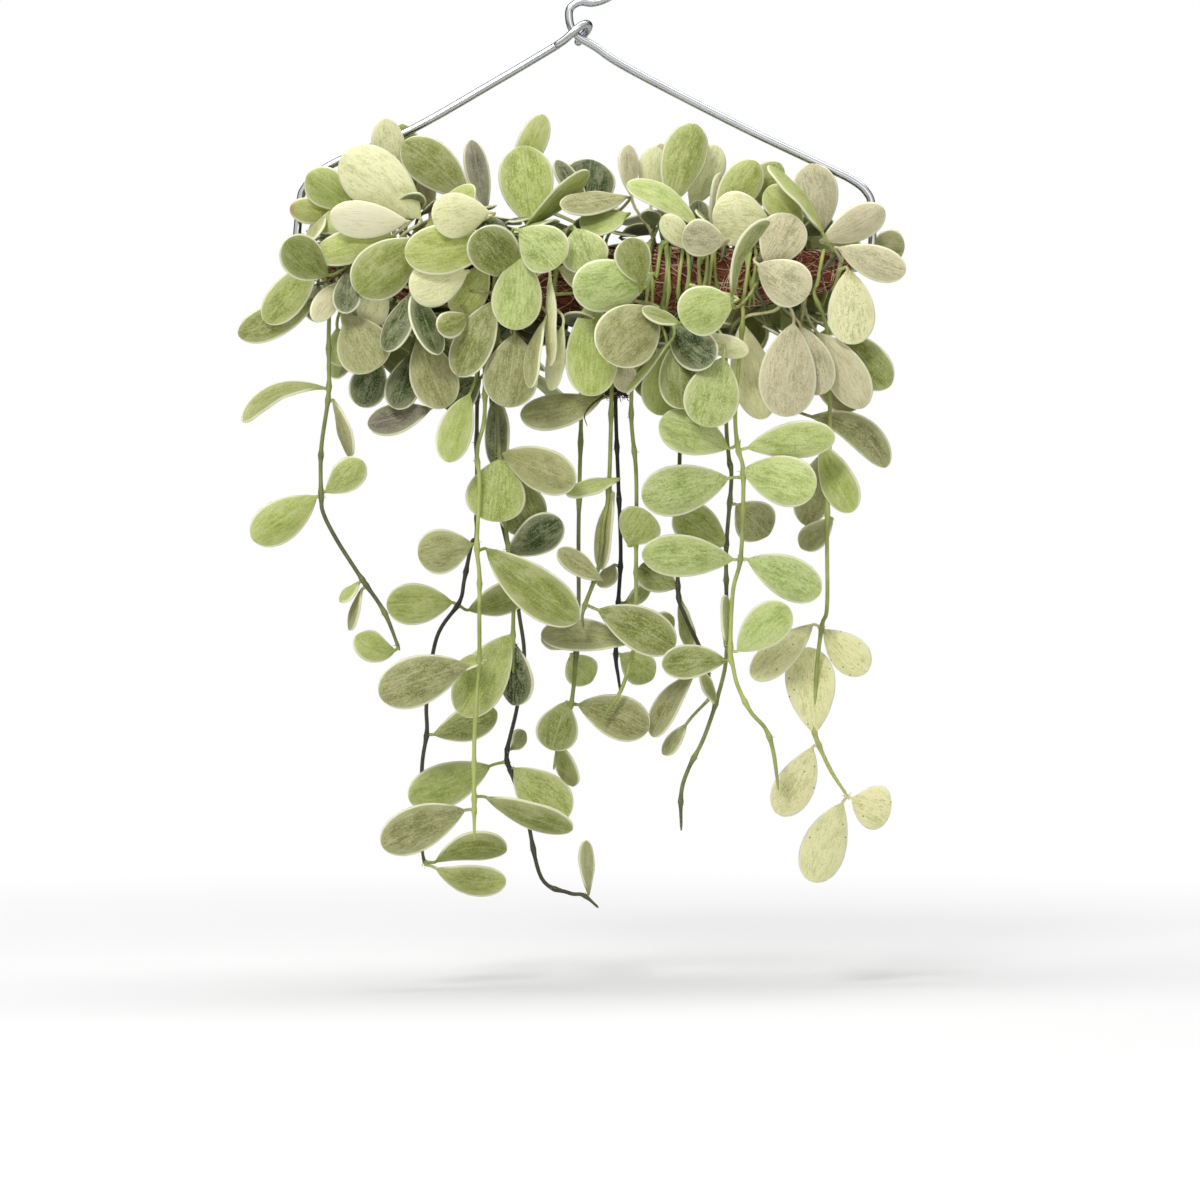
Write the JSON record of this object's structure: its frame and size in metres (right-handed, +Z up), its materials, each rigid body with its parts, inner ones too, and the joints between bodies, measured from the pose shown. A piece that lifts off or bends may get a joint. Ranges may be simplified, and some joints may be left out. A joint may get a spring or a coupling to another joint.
{
  "type": "dischidia",
  "caption": "Variegated dischidia with small oval succulent leaves, its stems wound round a coir log on a wire hanger and trailing below it; it hangs from the hanger's hook.",
  "frame": {"origin": "the hook's bearing point, the top of the inside of the hook, where the hanger rests on its rail", "axes": "+Z up, the plant is seen from the front along +Y, and +X runs along the hanger to the viewer's right"},
  "size_m": [0.267, 0.1067, 0.3976],
  "materials": {
    "steel_wire": "polished round steel wire, bright on top and dark grey in its lower edge",
    "coir": "reddish-brown coir fibre, rough and matte",
    "leaf": "matte succulent leaf, grey-green to light green with a thin cream margin, fine streaks and speckle",
    "stem": "thin green to grey-brown stem, satin, darker with age",
    "rootlet": "dry thread-like aerial root, matte"
  },
  "bodies": {
    "root": {"coir_log": "coir", "hanger_wire": "steel_wire", "trailer_left": "leaf", "trailer_pale": "leaf", "trailer_shade": "leaf", "trailer_round": "leaf", "trailer_dark": "leaf", "trailer_middle": "leaf", "trailer_fork": "leaf", "trailer_black": "leaf", "trailer_centre": "leaf", "trailer_bright": "leaf", "trailer_twin": "leaf", "trailer_short": "leaf", "trailer_right": "leaf", "shoot_01": "leaf", "shoot_02": "leaf", "shoot_03": "leaf", "shoot_04": "leaf", "shoot_05": "leaf", "shoot_06": "leaf", "shoot_07": "leaf", "shoot_08": "leaf", "shoot_09": "leaf", "shoot_10": "leaf", "shoot_11": "leaf", "shoot_12": "leaf", "shoot_13": "leaf", "shoot_14": "leaf", "shoot_15": "leaf", "shoot_16": "leaf", "shoot_17": "leaf", "shoot_18": "leaf", "shoot_19": "leaf", "shoot_20": "leaf", "shoot_21": "leaf", "shoot_22": "leaf", "shoot_23": "leaf", "shoot_24": "leaf", "shoot_25": "leaf", "shoot_26": "leaf", "shoot_27": "leaf", "shoot_28": "leaf", "shoot_29": "leaf", "back_shoot_01": "leaf", "back_shoot_02": "leaf", "back_shoot_03": "leaf", "back_shoot_04": "leaf", "back_shoot_05": "leaf", "back_shoot_06": "leaf", "back_shoot_07": "leaf", "back_shoot_08": "leaf", "back_shoot_09": "leaf", "back_shoot_10": "leaf", "back_shoot_11": "leaf", "back_shoot_12": "leaf", "back_shoot_13": "leaf", "back_shoot_14": "leaf", "back_shoot_15": "leaf", "back_shoot_16": "leaf"}
  },
  "joints": []
}
